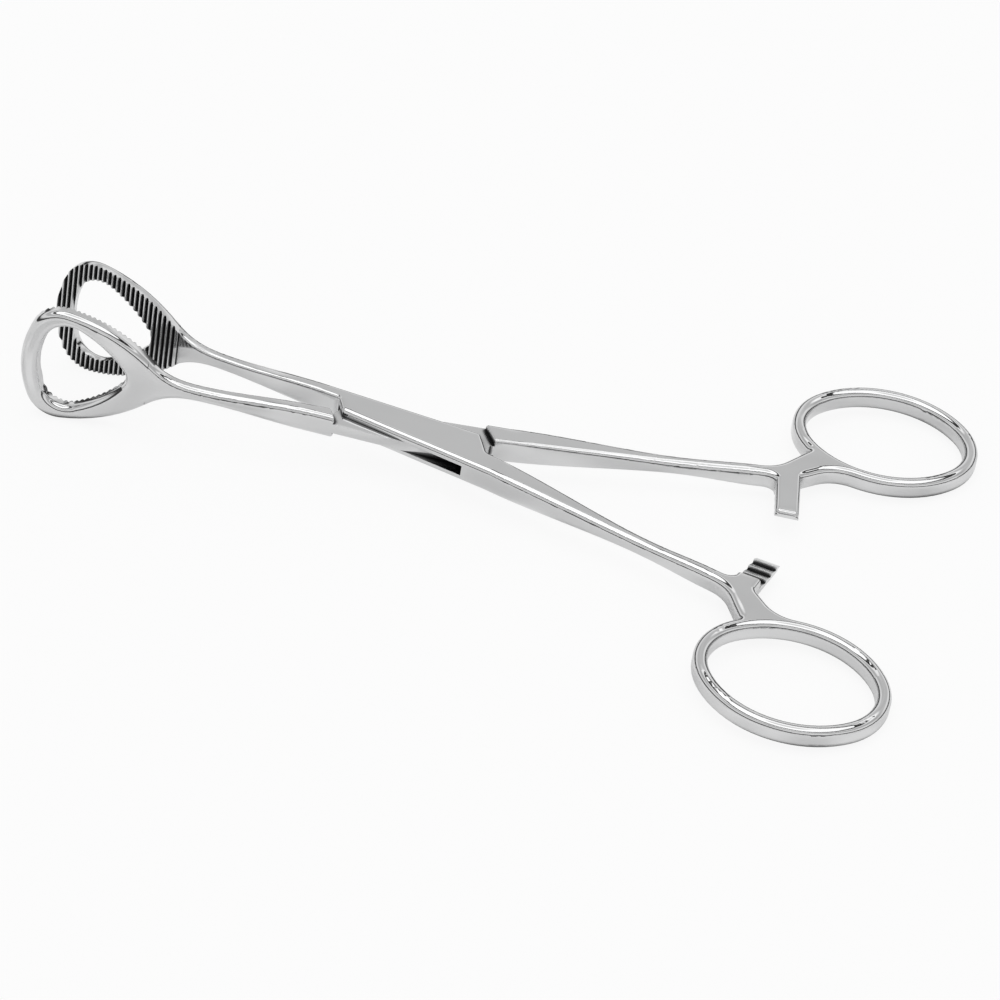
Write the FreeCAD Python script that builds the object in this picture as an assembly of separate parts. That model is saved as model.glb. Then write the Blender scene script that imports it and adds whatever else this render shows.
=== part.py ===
import FreeCAD, Part
import math
import os

# Organ holding forceps with a box lock: two forged halves that cross at one pin.
# Millimetres. The pivot axis is Z and the origin is at its middle height.
# X runs from the jaws (-X) to the finger rings (+X); the halves open and close in the XY plane.
# Each half is drawn closed, with its jaw face on the plane y = 0, and is then turned to the rest opening.
# A half has its jaw and shank on one side of that plane, and its handle and ring on the other.

# Driving dimensions: opening and running fits
HALF_OPENING = 6.5          # degrees that each half is turned from closed to the rest pose
JAW_FACE_GAP = 0.03         # from the closing plane to the crests of each jaw
SLOT_CLEARANCE = 0.05       # between the tenon and each wall of the slot
PIN_CLEARANCE = 0.04        # radial, between the pin and the tenon's bore
RATCHET_CLEARANCE = 0.04    # from the middle plane to the crests of each ratchet arm

# Driving dimensions: jaws
JAW_REACH = 74.3            # pivot to the tip of the jaws
JAW_LENGTH = 28.2           # tip to the small end of the pear outline
JAW_WIDTH = 23.8            # along Z
JAW_TIP_RADIUS = 20.0       # of the pear outline, seen along Y
JAW_SHOULDER_RADIUS = 6.5
JAW_FLANK_RADIUS = 30.0
JAW_END_RADIUS = 2.3
JAW_RIM = 3.5               # width of the rim at the tip of the window
WINDOW_NECK = 8.1           # from the small end of the outline to the window
WINDOW_WIDTH = 17.8
WINDOW_TIP_RADIUS = 17.0
WINDOW_SHOULDER_RADIUS = 4.6
WINDOW_FLANK_RADIUS = 24.0
WINDOW_END_RADIUS = 2.9
JAW_THICKNESS = 2.7
JAW_BACK_ROUND = 1.35
FACE_LENGTH = 25.5          # length of the serrated face, from the tip
GROOVE_PITCH = 1.0
GROOVE_DEPTH = 0.5
GROOVE_WIDTH = 0.8

# Driving dimensions: shanks between the jaws and the lock
SHANK_GAP = 0.3             # from the closing plane to the flat inner side
SHANK_WAIST_REACH = 38.5    # pivot to the thinnest place
SHANK_WAIST_WIDTH = 2.55
SHANK_WAIST_HEIGHT = 2.6
NECK_FLARE_LENGTH = 11.5    # from the waist to the end of the neck inside the jaw
NECK_WIDTH = 2.35
NECK_HEIGHT = 9.6
NECK_FLARE_CURVE = 3.0      # 1 is a straight flare, larger flares later
SHANK_END_WIDTH = 3.0       # where it runs into the lock
SHANK_ROUND = 1.1           # outer corners of its section
SHANK_STATIONS = 5          # sections along each of its two stretches

# Driving dimensions: lock
LOCK_HALF_LENGTH = 15.0     # pivot to the end of the box, on the centre line
LOCK_REACH = 18.0           # pivot to where the shank and the handle of a half begin
LOCK_WIDTH = 8.6            # at the pivot; the sides run straight to the shank and to the handle
LOCK_HEIGHT = 4.8
LOCK_END_SLANT = 34.5       # degrees that the ends of the box lean from square
LOCK_EDGE_ROUND = 0.6       # ends of the box, and inner sides of the shank and the handle at the lock
LOCK_CORNER_ROUND = 1.5     # upright corners between them
SLOT_HEIGHT = 2.1
SLOT_END_SLANT = 24.0       # degrees that the end walls of the slot lean the other way
SLOT_TIP_PAST = 0.15        # how far the wedge between those two ends reaches past the closing plane
SHOULDER_GAP = 0.8          # between the end of the box and the shoulder of the inner half
SHOULDER_SLANT = 28.0
SHOULDER_ROUND = 0.3
PIN_DIAMETER = 3.4

# Working values
TOLERANCE = 0.001           # for telling edges apart
PAST = 1.0                  # how far a cutter reaches past what it cuts
JOINT_TOLERANCE = 0.004     # where the rounded end of the lock meets the first section of a shank or handle

# Driving dimensions: handles
HANDLE_START = 3.3          # distance of the handle's centre line from the closing plane at the lock
HANDLE_START_WIDTH = 5.0
HANDLE_SPREAD = 8.8         # degrees between that line and the closing plane
HANDLE_WAIST_REACH = 50.0
HANDLE_WAIST_WIDTH = 2.8
HANDLE_WAIST_HEIGHT = 3.0
HANDLE_ROUND = 1.15
HANDLE_STATIONS = 5         # sections from the lock to the waist
HANDLE_LAST_STATIONS = 3    # sections from the waist to the junction
JUNCTION_REACH = 64.5       # pivot to where the handle becomes the flat junction
JUNCTION_WIDTH = 3.0
RING_HEIGHT = 4.0           # thickness of the junction and the ring along Z
PLATE_ROUND = 1.3           # long edges of the junction and the ring

# Driving dimensions: finger rings
RING_AFTER_ARM = 15.6       # from the middle of the arm to the middle of the ring, along X
RING_OFFSET = 30.1          # closing plane to the middle of the ring
RING_HOLE_LENGTH = 30.4
RING_HOLE_WIDTH = 26.0
RING_END_RADIUS = 11.0      # of the hole, at its two ends
RING_BAND = 2.7

# Driving dimensions: ratchet
ARM_AFTER_JUNCTION = 6.5    # from the start of the junction to the middle of the arm, along X
ARM_WIDTH = 4.5
ARM_LEAN = 5.0              # degrees that the arms lean towards the rings
UPPER_ARM_PAST = 2.0        # how far the upper arm reaches past the closing plane
LOWER_ARM_PAST = 1.3
ARM_ROOT = 8.0              # closing plane to the step where each arm becomes half as thick
ARM_ROOT_SLOPE = 0.8        # the end of the arm inside the junction leans by this much to each side
ARM_TIP_ROUND = 0.9
ARM_ROUND = 0.8             # long edges of the arms
TIP_BEVEL = 1.3             # length of the bevel at the tip of each arm
TOOTH_PITCH = 2.3
TOOTH_DEPTH = 0.62
TOOTH_CREST = 0.2
TOOTH_STEEP = 0.3           # length of the steep side, seen from above
TOOTH_COUNT = 3
HANDLE_CORNER_ROUND = 2.0   # inner corner between the handle and the arm
ARM_CORNER_ROUND = 3.0      # inner corner between the arm and the ring
WEB_ROUND = 7.0             # where the junction runs into the ring, on the side of the arm
CROTCH_ROUND = 7.0          # outer bend from the handle up to the ring
NOTCH_ROUND = 0.8           # where that bend meets the ring
WEB_FIRST_ANGLE = 219       # stretch of the ring that the junction runs into, in degrees round it
WEB_LAST_ANGLE = 246

# Sizes that follow from the ones above
ARM_REACH = JUNCTION_REACH + ARM_AFTER_JUNCTION
RING_REACH = ARM_REACH + RING_AFTER_ARM
LOCK_HALF_WIDTH = LOCK_WIDTH / 2
SHOULDER_REACH = LOCK_HALF_LENGTH + SHOULDER_GAP
LOCK_HALF_HEIGHT = LOCK_HEIGHT / 2
SLOT_HALF_HEIGHT = SLOT_HEIGHT / 2
SLOT_HALF_LENGTH = LOCK_HALF_LENGTH - SLOT_TIP_PAST * (math.tan(math.radians(LOCK_END_SLANT))
                                                       + math.tan(math.radians(SLOT_END_SLANT)))
TENON_HALF_HEIGHT = SLOT_HALF_HEIGHT - SLOT_CLEARANCE
RING_HALF_HEIGHT = RING_HEIGHT / 2


def vector(x, y, z=0.0):
    return FreeCAD.Vector(x, y, z)


def block(x0, x1, y0, y1, z0, z1):
    return Part.makeBox(x1 - x0, y1 - y0, z1 - z0, vector(x0, y0, z0))


def prism(points, z0, z1):
    wire = Part.makePolygon([vector(x, y, z0) for x, y in points + points[:1]])
    return Part.Face(wire).extrude(vector(0, 0, z1 - z0))


def mirror_y(shape):
    return shape.mirror(vector(0, 0, 0), vector(0, 1, 0))


def mirror_z(shape):
    return shape.mirror(vector(0, 0, 0), vector(0, 0, 1))


# A section across a shank or handle: a rectangle with its own corner radius on each side
def section(x, inner, outer, height, inner_round, outer_round):
    top = height / 2
    corners = [(inner, -top, inner_round), (outer, -top, outer_round),
               (outer, top, outer_round), (inner, top, inner_round)]
    directions = [(1, 0), (0, 1), (-1, 0), (0, -1)]
    edges = []
    last = None
    first = None
    for index, (y, z, radius) in enumerate(corners):
        before = directions[index - 1]
        after = directions[index]
        start = vector(x, y - before[0] * radius, z - before[1] * radius)
        end = vector(x, y + after[0] * radius, z + after[1] * radius)
        centre = start + vector(0, after[0] * radius, after[1] * radius)
        middle = centre + (vector(x, y, z) - centre) * (1 / math.sqrt(2))
        if last is not None:
            edges.append(Part.LineSegment(last, start).toShape())
        else:
            first = start
        edges.append(Part.Arc(start, middle, end).toShape())
        last = end
    edges.append(Part.LineSegment(last, first).toShape())
    return Part.Wire(edges)


# Where two straight lines of the plan cross; each is given by two of its points
def crossing(line, other):
    (ax, ay), (bx, by) = line
    (cx, cy), (dx, dy) = other
    turn = (bx - ax) * (dy - cy) - (by - ay) * (dx - cx)
    share = ((cx - ax) * (dy - cy) - (cy - ay) * (dx - cx)) / turn
    return (ax + share * (bx - ax), ay + share * (by - ay))


# Line that passes the centre line at x and leans from square
def leaning(x, degrees):
    return ((x, 0), (x - math.tan(math.radians(degrees)), 1))


def smooth(t):
    return t * t * (3 - 2 * t)


def between(low, high, t):
    return low + (high - low) * t


def fractions(count):
    return [index / (count - 1) for index in range(count)]


# Jaws

# Centre of the arc that touches two circles from outside, on their +Z side
def flank_centre(first, first_radius, second, second_radius, radius):
    line = second - first
    reach = line.Length
    from_first = radius - first_radius
    from_second = radius - second_radius
    along = (from_first ** 2 - from_second ** 2 + reach ** 2) / (2 * reach)
    square = math.sqrt(from_first ** 2 - along ** 2)
    line.normalize()
    return first + line * along + vector(line.z, 0, -line.x) * square


# Pear outline in the XZ plane: arcs for its tip, shoulders, flanks and small end that run into each other
def pear(tip_x, end_x, width, tip_radius, shoulder_radius, flank_radius, end_radius, y):
    tip_centre = vector(tip_x + tip_radius, y)
    end_centre = vector(end_x - end_radius, y)
    rise = width / 2 - shoulder_radius
    back = math.sqrt((tip_radius - shoulder_radius) ** 2 - rise ** 2)
    shoulder = vector(tip_centre.x - back, y, rise)
    flank = flank_centre(shoulder, shoulder_radius, end_centre, end_radius, flank_radius)

    def away(centre, other, radius):
        direction = centre - other
        direction.normalize()
        return centre + direction * radius

    def arc(start, stop, centre, radius):
        middle = away(centre, centre - (start + stop - centre * 2), radius)
        return Part.Arc(start, middle, stop).toShape()

    tip_joint = away(shoulder, tip_centre, shoulder_radius)
    flank_joint = away(shoulder, flank, shoulder_radius)
    end_joint = away(end_centre, flank, end_radius)
    sides = [arc(tip_joint, flank_joint, shoulder, shoulder_radius),
             arc(flank_joint, end_joint, flank, flank_radius)]
    tip = Part.Arc(below(tip_joint), vector(tip_x, y), tip_joint).toShape()
    end = Part.Arc(end_joint, vector(end_x, y), below(end_joint)).toShape()
    return Part.Wire(Part.__sortEdges__([tip, end] + sides + [mirror_z(side) for side in sides]))


def below(point):
    return vector(point.x, point.y, -point.z)


def jaw_plate():
    outline = pear(-JAW_REACH, JAW_LENGTH - JAW_REACH, JAW_WIDTH,
                   JAW_TIP_RADIUS, JAW_SHOULDER_RADIUS, JAW_FLANK_RADIUS, JAW_END_RADIUS, JAW_FACE_GAP)
    window = pear(JAW_RIM - JAW_REACH, JAW_LENGTH - WINDOW_NECK - JAW_REACH, WINDOW_WIDTH,
                  WINDOW_TIP_RADIUS, WINDOW_SHOULDER_RADIUS, WINDOW_FLANK_RADIUS, WINDOW_END_RADIUS,
                  JAW_FACE_GAP)
    thick = vector(0, JAW_THICKNESS, 0)
    plate = Part.Face(outline).extrude(thick).cut(Part.Face(window).extrude(thick))
    back = JAW_FACE_GAP + JAW_THICKNESS
    edges = [edge for edge in plate.Edges if edge.BoundBox.YMin > back - TOLERANCE]
    return plate.makeFillet(JAW_BACK_ROUND, edges)


# Cross grooves over the whole face, and the low step behind them
def jaw_grooves():
    count = int(FACE_LENGTH / GROOVE_PITCH)
    first = -JAW_REACH + GROOVE_PITCH / 2
    height = JAW_WIDTH
    half_width = GROOVE_WIDTH / 2
    floor = JAW_FACE_GAP + GROOVE_DEPTH
    over = half_width / GROOVE_DEPTH
    cutters = []
    for index in range(count):
        x = first + index * GROOVE_PITCH
        mouth = half_width + over * JAW_FACE_GAP
        points = [vector(x - mouth, 0, -height), vector(x + mouth, 0, -height), vector(x, floor, -height)]
        face = Part.Face(Part.makePolygon(points + points[:1]))
        cutters.append(face.extrude(vector(0, 0, 2 * height)))
    step = -JAW_REACH + FACE_LENGTH
    cutters.append(block(step, step + JAW_LENGTH, -PAST, SHANK_GAP, -height, height))
    return Part.Compound(cutters)


# Shank from the flared neck at the jaw to the lock, flat on the side that faces the other half
def shank():
    stations = []
    for t in fractions(SHANK_STATIONS):
        x = -(SHANK_WAIST_REACH + NECK_FLARE_LENGTH * (1 - t))
        width = between(NECK_WIDTH, SHANK_WAIST_WIDTH, t)
        height = between(SHANK_WAIST_HEIGHT, NECK_HEIGHT, (1 - t) ** NECK_FLARE_CURVE)
        stations.append((x, width, height))
    for t in fractions(SHANK_STATIONS)[1:]:
        x = -between(SHANK_WAIST_REACH, LOCK_REACH, t)
        width = between(SHANK_WAIST_WIDTH, SHANK_END_WIDTH, t)
        height = between(SHANK_WAIST_HEIGHT, LOCK_HEIGHT, smooth(t))
        stations.append((x, width, height))
    wires = [section(x, SHANK_GAP, SHANK_GAP + width, height, LOCK_EDGE_ROUND, SHANK_ROUND)
             for x, width, height in stations]
    return Part.makeLoft(wires, True, False)


# Handles and rings are drawn on the +Y side of the closing plane

# Point at a place x of the handle's centre line, and at a distance square to it
def beside_handle(x, offset):
    spread = math.radians(HANDLE_SPREAD)
    middle = HANDLE_START + (x - LOCK_REACH) * math.tan(spread)
    return (x - offset * math.sin(spread), middle + offset * math.cos(spread))


# Where the line along one side of the handle reaches a place x
def side_line(x, offset):
    spread = math.radians(HANDLE_SPREAD)
    return HANDLE_START + (x - LOCK_REACH) * math.tan(spread) + offset / math.cos(spread)


# The sections stand square to the centre line, so that the last one is the start of the junction
def handle():
    stations = []
    for t in fractions(HANDLE_STATIONS):
        x = between(LOCK_REACH, HANDLE_WAIST_REACH, t)
        width = between(HANDLE_START_WIDTH, HANDLE_WAIST_WIDTH, smooth(t))
        height = between(LOCK_HEIGHT, HANDLE_WAIST_HEIGHT, smooth(t))
        inner_round = between(LOCK_EDGE_ROUND, HANDLE_ROUND, t)
        outer_round = between(SHANK_ROUND, HANDLE_ROUND, t)
        stations.append((x, width, height, inner_round, outer_round))
    for t in fractions(HANDLE_LAST_STATIONS)[1:]:
        x = between(HANDLE_WAIST_REACH, JUNCTION_REACH, t)
        width = between(HANDLE_WAIST_WIDTH, JUNCTION_WIDTH, smooth(t))
        height = between(HANDLE_WAIST_HEIGHT, RING_HEIGHT, smooth(t))
        radius = between(HANDLE_ROUND, PLATE_ROUND, t)
        stations.append((x, width, height, radius, radius))
    wires = []
    for x, width, height, inner_round, outer_round in stations:
        wire = section(0, -width / 2, width / 2, height, inner_round, outer_round)
        wire.rotate(vector(0, 0, 0), vector(0, 0, 1), HANDLE_SPREAD)
        wire.translate(vector(*beside_handle(x, 0)))
        wires.append(wire)
    return Part.makeLoft(wires, True, False)


# Oval of four arcs; grow widens it all round
def oval(grow, z):
    half_length = RING_HOLE_LENGTH / 2 + grow
    half_width = RING_HOLE_WIDTH / 2 + grow
    end_radius = RING_END_RADIUS + grow
    end_middle = half_length - end_radius
    side_radius = (end_middle ** 2 + half_width ** 2 - end_radius ** 2) / (2 * (half_width - end_radius))
    side_middle = side_radius - half_width
    turn = math.atan2(side_middle, end_middle)
    meet_x = end_middle + end_radius * math.cos(turn)
    meet_y = end_radius * math.sin(turn)

    def at(x, y):
        return vector(RING_REACH + x, RING_OFFSET + y, z)

    edges = [Part.Arc(at(meet_x, -meet_y), at(half_length, 0), at(meet_x, meet_y)),
             Part.Arc(at(meet_x, meet_y), at(0, half_width), at(-meet_x, meet_y)),
             Part.Arc(at(-meet_x, meet_y), at(-half_length, 0), at(-meet_x, -meet_y)),
             Part.Arc(at(-meet_x, -meet_y), at(0, -half_width), at(meet_x, -meet_y))]
    return Part.Wire([edge.toShape() for edge in edges])


# Point in the middle of the ring's band
def on_band(degrees):
    angle = math.radians(degrees)
    return (RING_REACH + (RING_HOLE_LENGTH + RING_BAND) / 2 * math.cos(angle),
            RING_OFFSET + (RING_HOLE_WIDTH + RING_BAND) / 2 * math.sin(angle))


# Rounds the upright edge that stands nearest to a point of the plan
def round_upright(shape, x, y, radius):
    def distance(edge):
        centre = edge.BoundBox.Center
        return math.hypot(centre.x - x, centre.y - y)
    upright = [edge for edge in shape.Edges
               if len(edge.Vertexes) == 2 and edge.BoundBox.XLength + edge.BoundBox.YLength < TOLERANCE]
    return shape.makeFillet(radius, [min(upright, key=distance)])


# Ratchet arm on its own, whose edges are less rounded; it ends inside the junction
def arm(arm_past, root):
    lean = math.tan(math.radians(ARM_LEAN))
    half_width = ARM_WIDTH / 2
    sides = [(ARM_REACH - half_width + arm_past * lean, -arm_past),
             (ARM_REACH + half_width + arm_past * lean, -arm_past),
             (ARM_REACH + half_width - root * lean, root + ARM_ROOT_SLOPE),
             (ARM_REACH - half_width - root * lean, root - ARM_ROOT_SLOPE)]
    bar = prism(sides, -RING_HALF_HEIGHT, RING_HALF_HEIGHT)
    for x, y in sides[:2]:
        bar = round_upright(bar, x, y, ARM_TIP_ROUND)
    edges = [edge for edge in bar.Edges
             if edge.BoundBox.ZLength < TOLERANCE and edge.CenterOfMass.y < root - ARM_ROOT_SLOPE]
    return bar.makeFillet(ARM_ROUND, edges)


# Flat junction with the arm and the finger ring, cut from one outline, with all its long edges rounded
def ring_and_arm(arm_past):
    low = -RING_HALF_HEIGHT
    up = vector(0, 0, RING_HEIGHT)
    half_width = JUNCTION_WIDTH / 2
    lean = math.tan(math.radians(ARM_LEAN))
    inner_start = beside_handle(JUNCTION_REACH, -half_width)
    outer_start = beside_handle(JUNCTION_REACH, half_width)
    middle = side_line(JUNCTION_REACH, 0)
    arm_left = ARM_REACH - ARM_WIDTH / 2
    arm_right = ARM_REACH + ARM_WIDTH / 2
    inner_x = arm_left - middle * lean
    outer_x = arm_left - half_width
    inner_corner = (inner_x, side_line(inner_x, -half_width))
    arm_corner = (arm_right - middle * lean, middle)
    outer_corner = (outer_x, side_line(outer_x, half_width))
    web_left = on_band(WEB_FIRST_ANGLE)
    web_right = on_band(WEB_LAST_ANGLE)
    ring = Part.Face(oval(RING_BAND, low)).extrude(up)
    hole = Part.Face(oval(0, low)).extrude(up)
    web = prism([inner_start, inner_corner, (arm_left + arm_past * lean, -arm_past),
                 (arm_right + arm_past * lean, -arm_past), arm_corner,
                 web_right, web_left, outer_corner, outer_start], low, RING_HALF_HEIGHT)
    plan = ring.fuse(web).removeSplitter()
    plan = round_upright(plan, *inner_corner, HANDLE_CORNER_ROUND)
    plan = round_upright(plan, *arm_corner, ARM_CORNER_ROUND)
    plan = round_upright(plan, *outer_corner, CROTCH_ROUND)
    plan = round_upright(plan, *web_right, WEB_ROUND)
    plan = round_upright(plan, *web_left, NOTCH_ROUND)
    plan = plan.cut(hole)
    start = vector(*beside_handle(JUNCTION_REACH, 0))
    edges = []
    for edge in plan.Edges:
        at_start = math.hypot(edge.CenterOfMass.x - start.x, edge.CenterOfMass.y - start.y) < half_width / 2
        if edge.BoundBox.ZLength < TOLERANCE and not at_start:
            edges.append(edge)
    return plan.makeFillet(PLATE_ROUND, edges).fuse(arm(arm_past, middle))


# Teeth facing up along an arm that points to -Y: a short steep side towards the root of the arm
# and a long slope towards its tip
def ratchet_cutters(arm_past):
    low = ARM_REACH - ARM_WIDTH
    width = 2 * ARM_WIDTH
    level = -RATCHET_CLEARANCE
    cutters = [block(ARM_REACH - ARM_WIDTH / 2 - HANDLE_CORNER_ROUND, ARM_REACH + ARM_WIDTH,
                     -arm_past - PAST, ARM_ROOT, level, RING_HEIGHT)]
    profiles = [[(-arm_past - PAST, level - TOOTH_DEPTH), (-arm_past, level - TOOTH_DEPTH),
                 (-arm_past + TIP_BEVEL, level), (-arm_past + TIP_BEVEL, PAST), (-arm_past - PAST, PAST)]]
    for index in range(TOOTH_COUNT):
        crest = -arm_past + TIP_BEVEL + TOOTH_CREST + index * TOOTH_PITCH
        profiles.append([(crest, level), (crest + TOOTH_STEEP, level - TOOTH_DEPTH),
                         (crest + TOOTH_PITCH - TOOTH_CREST, level), (crest, level + TOOTH_CREST)])
    for profile in profiles:
        points = [vector(low, y, z) for y, z in profile]
        face = Part.Face(Part.makePolygon(points + points[:1]))
        cutters.append(face.extrude(vector(width, 0, 0)))
    return Part.Compound(cutters)


# Lock

# Both long sides of a half at the lock, with its shank at +Y and its handle at -Y
def lock_sides():
    handle_start = beside_handle(LOCK_REACH, HANDLE_START_WIDTH / 2)
    return (((-LOCK_REACH, SHANK_GAP + SHANK_END_WIDTH), (0, LOCK_HALF_WIDTH)),
            ((0, -LOCK_HALF_WIDTH), mirrored(handle_start)))


def mirrored(point):
    return (point[0], -point[1])


# Edges of the top and bottom faces whose middle is no further than reach from one of the lines
def rim(solid, lines, reach):
    def off(edge, line):
        (ax, ay), (bx, by) = line
        place = edge.CenterOfMass
        return abs((bx - ax) * (place.y - ay) - (by - ay) * (place.x - ax)) / math.hypot(bx - ax, by - ay)
    return [edge for edge in solid.Edges
            if edge.BoundBox.ZLength < TOLERANCE and min(off(edge, line) for line in lines) < reach]


# One piece with the ends of the shank and of the handle; the box's own ends lean
def lock_block():
    shank_side, handle_side = lock_sides()
    left_end = leaning(-LOCK_HALF_LENGTH, LOCK_END_SLANT)
    right_end = leaning(LOCK_HALF_LENGTH, LOCK_END_SLANT)
    shank_inner = ((-LOCK_REACH, SHANK_GAP), (0, SHANK_GAP))
    handle_inner = (mirrored(beside_handle(LOCK_REACH, -HANDLE_START_WIDTH / 2)),
                    mirrored(beside_handle(JUNCTION_REACH, -HANDLE_START_WIDTH / 2)))
    shank_corner = crossing(left_end, shank_inner)
    handle_corner = crossing(right_end, handle_inner)
    solid = prism([shank_side[0], crossing(shank_side, right_end), handle_corner, handle_inner[0],
                   handle_side[1], crossing(handle_side, left_end), shank_corner, shank_inner[0]],
                  -LOCK_HALF_HEIGHT, LOCK_HALF_HEIGHT)
    for corner in (shank_corner, handle_corner):
        solid = round_upright(solid, *corner, LOCK_CORNER_ROUND)
    solid = solid.makeFillet(SHANK_ROUND, rim(solid, (shank_side, handle_side), TOLERANCE))
    ends = (left_end, right_end, shank_inner, handle_inner)
    return solid.makeFillet(LOCK_EDGE_ROUND, rim(solid, ends, LOCK_CORNER_ROUND / 4))


def slot_block():
    ends = [leaning(x, -SLOT_END_SLANT) for x in (-SLOT_HALF_LENGTH, SLOT_HALF_LENGTH)]
    return prism(between_lines(ends, ((0, -LOCK_WIDTH), (1, -LOCK_WIDTH)), ((0, LOCK_WIDTH), (1, LOCK_WIDTH))),
                 -SLOT_HALF_HEIGHT, SLOT_HALF_HEIGHT)


def between_lines(ends, near, far):
    return [crossing(ends[0], near), crossing(ends[1], near), crossing(ends[1], far), crossing(ends[0], far)]


# Tenon of the inner half: its ends follow the walls of the slot, its sides the sides of that half
def tenon_ends():
    length = SLOT_HALF_LENGTH - SLOT_CLEARANCE
    return [leaning(x, -SLOT_END_SLANT) for x in (-length, length)]


def tenon_block():
    shank_side, handle_side = lock_sides()
    near = [mirrored(point) for point in shank_side]
    far = [mirrored(point) for point in handle_side]
    return prism(between_lines(tenon_ends(), near, far), -TENON_HALF_HEIGHT, TENON_HALF_HEIGHT)


# What is cut off the inner half: above and below the tenon between the shoulders, and past the tenon's ends
def inner_cutters():
    ends = [leaning(x, SHOULDER_SLANT) for x in (-SHOULDER_REACH, SHOULDER_REACH)]
    plan = between_lines(ends, ((0, -LOCK_WIDTH), (1, -LOCK_WIDTH)), ((0, LOCK_WIDTH), (1, LOCK_WIDTH)))
    cutters = [prism(plan, TENON_HALF_HEIGHT, LOCK_HEIGHT), prism(plan, -LOCK_HEIGHT, -TENON_HALF_HEIGHT)]
    left = tenon_ends()[0]
    past = [crossing(left, ((0, -SHANK_GAP), (1, -SHANK_GAP))), crossing(left, ((0, LOCK_WIDTH), (1, LOCK_WIDTH))),
            (-LOCK_REACH, LOCK_WIDTH), (-LOCK_REACH, -SHANK_GAP)]
    relief = prism(past, -LOCK_HEIGHT, LOCK_HEIGHT)
    return Part.Compound(cutters + [relief, relief.rotated(vector(0, 0, 0), vector(0, 0, 1), 180)])


# Rounds the rims of the two shoulders above and below the tenon
def round_shoulders(body):
    lines = [leaning(x, SHOULDER_SLANT) for x in (-SHOULDER_REACH, SHOULDER_REACH)]
    edges = []
    for edge in body.Edges:
        for (ax, ay), (bx, by) in lines:
            ends = [vertex.Point for vertex in edge.Vertexes] + [edge.CenterOfMass]
            on_line = all(abs((bx - ax) * (p.y - ay) - (by - ay) * (p.x - ax)) < TOLERANCE for p in ends)
            if on_line and abs(edge.CenterOfMass.z) > TENON_HALF_HEIGHT + TOLERANCE:
                edges.append(edge)
    return body.makeFillet(SHOULDER_ROUND, edges)


def pin_block(radius, half_height):
    return Part.makeCylinder(radius, 2 * half_height, vector(0, 0, -half_height))


# Whole halves, closed

# Jaw with its neck and shank, on the +Y side
def jaw_side():
    return shank().fuse(jaw_plate()).cut(jaw_grooves())


# Handle with its ring, on the +Y side; the teeth of the arm face up
def ring_side(arm_past):
    plate = ring_and_arm(arm_past).cut(ratchet_cutters(arm_past))
    return handle().fuse(plate)


# Outer half: far jaw, slotted box, handle on the -Y side, teeth facing up
def box_half():
    body = lock_block().fuse([jaw_side(), mirror_y(ring_side(LOWER_ARM_PAST))], JOINT_TOLERANCE)
    body = body.cut(slot_block())
    return body.cut(pin_block(PIN_DIAMETER / 2, LOCK_HEIGHT))


# Inner half: near jaw, tenon through the slot, handle on the +Y side, teeth facing down
def inner_half():
    body = mirror_y(lock_block()).cut(inner_cutters()).fuse(tenon_block()).removeSplitter()
    body = round_shoulders(body)
    body = body.fuse([mirror_y(jaw_side()), mirror_z(ring_side(UPPER_ARM_PAST))], JOINT_TOLERANCE)
    return body.cut(pin_block(PIN_DIAMETER / 2 + PIN_CLEARANCE, LOCK_HEIGHT))


# Rivet pin, ground flush with both faces of the box
def pivot_pin():
    return pin_block(PIN_DIAMETER / 2, LOCK_HALF_HEIGHT)


def turned(shape, degrees):
    return shape.rotated(vector(0, 0, 0), vector(0, 0, 1), degrees)


def single_solid(shape):
    solids = shape.removeSplitter().Solids
    solids.sort(key=lambda solid: solid.Volume)
    return solids[-1]


nodes = {
    "box_half": turned(single_solid(box_half()), -HALF_OPENING),
    "inner_half": turned(single_solid(inner_half()), HALF_OPENING),
    "pivot_pin": pivot_pin(),
}

os.makedirs("parts", exist_ok=True)
for name, shape in nodes.items():
    shape.exportStep("parts/" + name + ".step")
    box = shape.BoundBox
    print(name, "valid", shape.isValid(), "solids", len(shape.Solids), "faces", len(shape.Faces),
          "volume", round(shape.Volume, 1))
    print("  x", round(box.XMin, 1), round(box.XMax, 1), "y", round(box.YMin, 1), round(box.YMax, 1),
          "z", round(box.ZMin, 1), round(box.ZMax, 1))
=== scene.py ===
import bpy
import math
from mathutils import Matrix, Vector


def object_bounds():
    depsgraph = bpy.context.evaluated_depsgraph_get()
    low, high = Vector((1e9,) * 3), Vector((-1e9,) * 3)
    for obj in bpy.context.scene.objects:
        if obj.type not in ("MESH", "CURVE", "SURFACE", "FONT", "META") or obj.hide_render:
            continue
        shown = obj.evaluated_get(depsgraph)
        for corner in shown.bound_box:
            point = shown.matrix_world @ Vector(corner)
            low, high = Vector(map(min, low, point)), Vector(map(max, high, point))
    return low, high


# Looks of a pair of box-lock holding forceps in mirror-polished steel, on a white studio floor.
# Metres, in the frame of the solids: pivot axis Z, jaws at -X, finger rings at +X.

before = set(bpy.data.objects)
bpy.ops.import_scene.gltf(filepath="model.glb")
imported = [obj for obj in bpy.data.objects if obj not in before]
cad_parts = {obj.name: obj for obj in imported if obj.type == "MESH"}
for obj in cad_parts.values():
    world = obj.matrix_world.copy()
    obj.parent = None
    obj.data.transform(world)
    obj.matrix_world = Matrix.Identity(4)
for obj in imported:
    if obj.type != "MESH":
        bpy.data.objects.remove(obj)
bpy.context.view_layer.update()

# Camera, from the photograph: what it looks at, its angles and its lens
LOOK_AT = (0.02093, -0.01205, 0.0)
CAMERA_AZIMUTH = 10.72          # degrees from looking along +Y
CAMERA_ELEVATION = 36.0
CAMERA_ROLL = 9.64
CAMERA_DISTANCE = 0.7412
SENSOR_WIDTH = 36.0
FOCAL_WIDTHS = 4.0608           # focal length in picture widths

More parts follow.
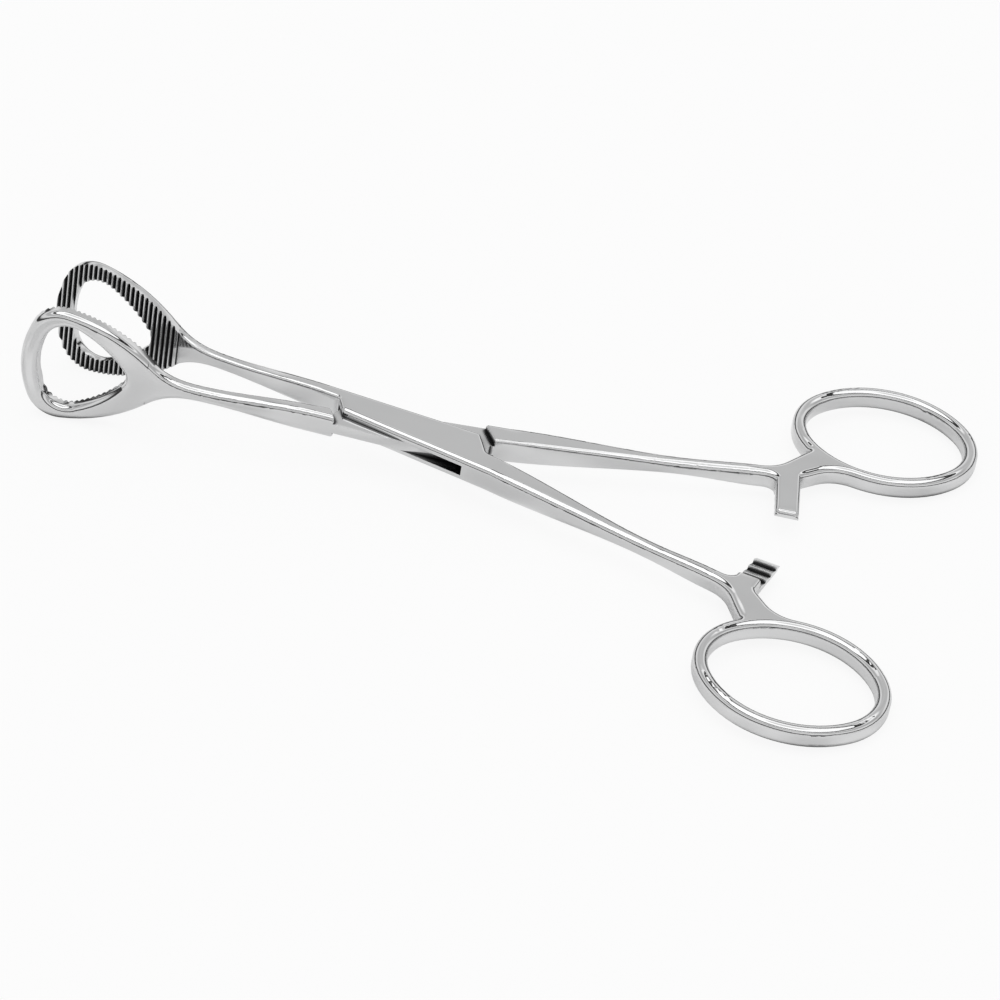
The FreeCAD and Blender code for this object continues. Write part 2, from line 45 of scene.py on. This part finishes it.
# Studio, from the floor up to the zenith: elevation in degrees and brightness, graded in between
STUDIO_BANDS = [
    (-90, 0.8), (0, 0.8),           # below the horizon
    (0.5, 0.04), (10, 0.06),        # dark foot of the walls, which draws the outlines of the roundings
    (17, 0.85), (26, 0.85),         # light wall
    (31, 0.57), (41, 0.6),          # grey wall, which the flat tops mirror
    (45.5, 1.15), (47.5, 1.25),     # rim of light under the frame
    (48.5, 0.05), (56, 0.05),       # dark frame of the soft box
    (58, 1.5), (76, 1.5),           # soft box
    (82, 0.88), (90, 0.88),         # its dimmer middle, straight overhead
]
CLOUD_DEPTH = 0.16              # how much brighter and darker the studio is from place to place
CLOUD_SCALE = 1.8
CLOUD_DETAIL = 1.0
CLOUD_RANGE = (0.3, 0.7)        # the part of the noise that is used

# Floor: it touches the lower edges of the jaws and the far ends of the finger rings
FLOOR_SIZE = 6.0
RING_ROUND = 0.0013             # rounding between the outline of the rings and their flat undersides
FLOOR_GREY = 0.9
GLOW_SEEN = 0.9                 # share of plain white in the floor that the camera sees
GLOW_MIRRORED = (0.0, 0.72)     # the same in the floor that the steel mirrors, in soft patches
GLOW_SCALE = 50.0
GLOW_DETAIL = 1.0
GLOW_RANGE = (0.35, 0.65)

# Steel, and the painted shade in its grooves, teeth and gaps, where ambient occlusion darkens its colour
STEEL_COLOUR = (0.715, 0.717, 0.72, 1)
STEEL_ROUGHNESS = (0.035, 0.07)
GLOSS_SCALE = 60.0
GLOSS_DETAIL = 4.0
GLOSS_RANGE = (0.3, 0.7)
# Painted shade: the near-black colour that the steel takes in grooves, teeth and gaps
GROOVE_SHADE_COLOUR = (0.025, 0.025, 0.026, 1)
GROOVE_ROUGHNESS = 0.4
GROOVE_REACH = 0.0012           # how far off a facing wall still darkens a groove
GROOVE_OPENNESS = (0.76, 0.93)  # dark below the first, clear steel above the second
GROOVE_SAMPLES = 12
HOLLOW_REACH = 0.003            # the same for the slot and the gaps between the halves
HOLLOW_OPENNESS = (0.36, 0.8)
HOLLOW_SAMPLES = 16
GLOSS_OPENNESS = (0.0, 0.8)     # rough as a groove at the first, and its own gloss by the second

# Buffed edges and faces
EDGE_ROUND = 0.00012            # rounding of the sharp edges
EDGE_SAMPLES = 6
CROWN_REACH = 0.003             # how far in from its edges a face is buffed away a little
CROWN_SHARE = 0.08
CROWN_SAMPLES = 12
PIN_ROOM = (0.0026, 0.0042)     # no buffing this near to the axis of the flush pin, and all of it beyond

# Unevenness of hand polishing: slow waves and fine marks
WAVE_HEIGHT = 0.0004
WAVE_STRENGTH = 1.0
WAVE_SCALE = 90.0
WAVE_DETAIL = 1.0
MARK_HEIGHT = 0.00002
MARK_STRENGTH = 0.05
MARK_SCALE = 1500.0
MARK_DETAIL = 2.0


# Nodes: each input is a number, a colour or another node's socket

def add(tree, kind, inputs, **settings):
    made = tree.nodes.new(kind)
    for name, value in settings.items():
        setattr(made, name, value)
    for name, value in inputs.items():
        if isinstance(value, bpy.types.NodeSocket):
            tree.links.new(value, made.inputs[name])
        else:
            made.inputs[name].default_value = value
    return made


def calculate(tree, operation, *values):
    return add(tree, "ShaderNodeMath", dict(enumerate(values)), operation=operation).outputs[0]


def ranged(tree, value, before, after):
    return add(tree, "ShaderNodeMapRange", {
        "Value": value,
        "From Min": before[0],
        "From Max": before[1],
        "To Min": after[0],
        "To Max": after[1],
    }).outputs[0]


def noise(tree, place, scale, detail):
    return add(tree, "ShaderNodeTexNoise", {"Vector": place, "Scale": scale, "Detail": detail}).outputs[0]


def openness(tree, reach, limits, samples, only_local):
    shade = add(tree, "ShaderNodeAmbientOcclusion", {"Distance": reach},
                samples=samples, only_local=only_local)
    return ranged(tree, shade.outputs["AO"], limits, (0.0, 1.0))


def rounded(tree, radius, samples):
    return add(tree, "ShaderNodeBevel", {"Radius": radius}, samples=samples).outputs[0]


def bumped(tree, normal, height, strength, distance):
    sockets = {"Normal": normal, "Height": height, "Strength": strength, "Distance": distance}
    return add(tree, "ShaderNodeBump", sockets).outputs[0]


def blended(tree, kind, share, first, second):
    mix = add(tree, "ShaderNodeMix", {"Factor": share, "A": first, "B": second}, data_type=kind)
    return mix.outputs["Result"]


def mixed_shaders(tree, share, first, second):
    return add(tree, "ShaderNodeMixShader", {0: share, 1: first.outputs[0], 2: second.outputs[0]}).outputs[0]


def empty_tree(owner):
    owner.use_nodes = True
    owner.node_tree.nodes.clear()
    return owner.node_tree


# Camera

def make_camera():
    azimuth = math.radians(CAMERA_AZIMUTH)
    elevation = math.radians(CAMERA_ELEVATION)
    roll = math.radians(CAMERA_ROLL)
    back = Vector((math.sin(azimuth) * math.cos(elevation),
                   -math.cos(azimuth) * math.cos(elevation),
                   math.sin(elevation)))
    right = Vector((math.cos(azimuth), math.sin(azimuth), 0))
    up = back.cross(right)
    turned_right = right * math.cos(roll) + up * math.sin(roll)
    turned_up = up * math.cos(roll) - right * math.sin(roll)
    data = bpy.data.cameras.new("camera")
    data.sensor_width = SENSOR_WIDTH
    data.lens = SENSOR_WIDTH * FOCAL_WIDTHS
    camera = bpy.data.objects.new("camera", data)
    bpy.context.scene.collection.objects.link(camera)
    place = Matrix((turned_right, turned_up, back)).transposed().to_4x4()
    place.translation = Vector(LOOK_AT) + back * CAMERA_DISTANCE
    camera.matrix_world = place
    bpy.context.scene.camera = camera


# Studio: bands of light and dark around the steel, and plain white where the camera sees past the floor

def studio_light(tree):
    place = add(tree, "ShaderNodeTexCoord", {}).outputs["Generated"]
    parts = add(tree, "ShaderNodeSeparateXYZ", {0: place})
    height = calculate(tree, "ARCSINE", parts.outputs["Z"])
    share = calculate(tree, "ADD", calculate(tree, "DIVIDE", height, math.pi), 0.5)
    ramp = add(tree, "ShaderNodeValToRGB", {0: share})
    stops = ramp.color_ramp.elements
    while len(stops) < len(STUDIO_BANDS):
        stops.new(0.5)
    brightest = max(level for _, level in STUDIO_BANDS)
    for stop, (degrees, level) in zip(stops, STUDIO_BANDS):
        grey = level / brightest
        stop.position = degrees / 180 + 0.5
        stop.color = (grey, grey, grey, 1)
    clouds = noise(tree, place, CLOUD_SCALE, CLOUD_DETAIL)
    strengths = (brightest * (1 - CLOUD_DEPTH), brightest * (1 + CLOUD_DEPTH))
    return add(tree, "ShaderNodeBackground", {
        "Color": ramp.outputs[0],
        "Strength": ranged(tree, clouds, CLOUD_RANGE, strengths),
    })


def make_world():
    world = bpy.data.worlds.new("studio")
    tree = empty_tree(world)
    seen = add(tree, "ShaderNodeLightPath", {}).outputs["Is Camera Ray"]
    white = add(tree, "ShaderNodeBackground", {"Color": (1, 1, 1, 1)})
    add(tree, "ShaderNodeOutputWorld", {"Surface": mixed_shaders(tree, seen, studio_light(tree), white)})
    bpy.context.scene.world = world


# Floor

def floor_material():
    material = bpy.data.materials.new("floor_white")
    tree = empty_tree(material)
    paper = add(tree, "ShaderNodeBsdfDiffuse", {"Color": (FLOOR_GREY, FLOOR_GREY, FLOOR_GREY, 1)})
    glow = add(tree, "ShaderNodeEmission", {"Color": (1, 1, 1, 1)})
    place = add(tree, "ShaderNodeTexCoord", {}).outputs["Object"]
    patches = ranged(tree, noise(tree, place, GLOW_SCALE, GLOW_DETAIL), GLOW_RANGE, GLOW_MIRRORED)
    path = add(tree, "ShaderNodeLightPath", {})
    seen = calculate(tree, "MULTIPLY", path.outputs["Is Camera Ray"], GLOW_SEEN)
    mirrored = calculate(tree, "MULTIPLY", path.outputs["Is Glossy Ray"], patches)
    share = calculate(tree, "ADD", seen, mirrored)
    add(tree, "ShaderNodeOutputMaterial", {"Surface": mixed_shaders(tree, share, paper, glow)})
    return material


def make_floor():
    low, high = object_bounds()
    points = [vertex.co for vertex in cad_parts["box_half"].data.vertices]
    jaw_x = min(points, key=lambda point: point.z).x
    ring_x = high[0] - RING_ROUND
    ring_z = min(point.z for point in points if point.x > high[0] / 2)
    slope = (ring_z - low[2]) / (ring_x - jaw_x)
    half = FLOOR_SIZE / 2
    corners = [(x, y, low[2] + slope * (x - jaw_x)) for x, y in
               ((-half, -half), (half, -half), (half, half), (-half, half))]
    mesh = bpy.data.meshes.new("floor")
    mesh.from_pydata(corners, [], [(0, 1, 2, 3)])
    floor = bpy.data.objects.new("floor", mesh)
    floor.data.materials.append(floor_material())
    bpy.context.scene.collection.objects.link(floor)


# Polished steel: a mirror with buffed edges, polishing marks, slightly uneven gloss, and painted shade in
# its grooves and gaps

def polished_normal(tree, place):
    flat_place = add(tree, "ShaderNodeVectorMath", {0: place, 1: (1, 1, 0)}, operation="MULTIPLY")
    off_axis = add(tree, "ShaderNodeVectorMath", {0: flat_place.outputs[0]}, operation="LENGTH")
    off_pin = ranged(tree, off_axis.outputs["Value"], PIN_ROOM, (0.0, 1.0))
    plain = add(tree, "ShaderNodeNewGeometry", {}).outputs["Normal"]
    edged = blended(tree, "VECTOR", off_pin, plain, rounded(tree, EDGE_ROUND, EDGE_SAMPLES))
    crown_share = calculate(tree, "MULTIPLY", off_pin, CROWN_SHARE)
    crowned = blended(tree, "VECTOR", crown_share, edged, rounded(tree, CROWN_REACH, CROWN_SAMPLES))
    waves = noise(tree, place, WAVE_SCALE, WAVE_DETAIL)
    waved = bumped(tree, crowned, waves, WAVE_STRENGTH, WAVE_HEIGHT)
    marks = noise(tree, place, MARK_SCALE, MARK_DETAIL)
    return bumped(tree, waved, marks, MARK_STRENGTH, MARK_HEIGHT)


def steel_material(name):
    material = bpy.data.materials.new(name)
    tree = empty_tree(material)
    place = add(tree, "ShaderNodeTexCoord", {}).outputs["Object"]
    # Painted shade: the base colour goes near black where ambient occlusion finds grooves, teeth, the slot,
    # the gaps between the halves and the floor close by
    groove = openness(tree, GROOVE_REACH, GROOVE_OPENNESS, GROOVE_SAMPLES, only_local=True)
    hollow = openness(tree, HOLLOW_REACH, HOLLOW_OPENNESS, HOLLOW_SAMPLES, only_local=False)
    clear = calculate(tree, "MULTIPLY", groove, hollow)
    gloss = ranged(tree, noise(tree, place, GLOSS_SCALE, GLOSS_DETAIL), GLOSS_RANGE, STEEL_ROUGHNESS)
    dull = ranged(tree, clear, GLOSS_OPENNESS, (GROOVE_ROUGHNESS, 0.0))
    shader = add(tree, "ShaderNodeBsdfPrincipled", {
        "Metallic": 1.0,
        "Base Color": blended(tree, "RGBA", clear, GROOVE_SHADE_COLOUR, STEEL_COLOUR),
        "Roughness": calculate(tree, "MAXIMUM", gloss, dull),
        "Normal": polished_normal(tree, place),
    })
    add(tree, "ShaderNodeOutputMaterial", {"Surface": shader.outputs[0]})
    return material


def dress_nodes():
    steel = steel_material("polished_steel")
    pin = steel_material("pin_steel")
    for name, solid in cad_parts.items():
        solid.data.materials.clear()
        solid.data.materials.append(pin if name == "pivot_pin" else steel)


make_camera()
make_world()
make_floor()
dress_nodes()
bpy.context.scene.view_settings.view_transform = "Standard"
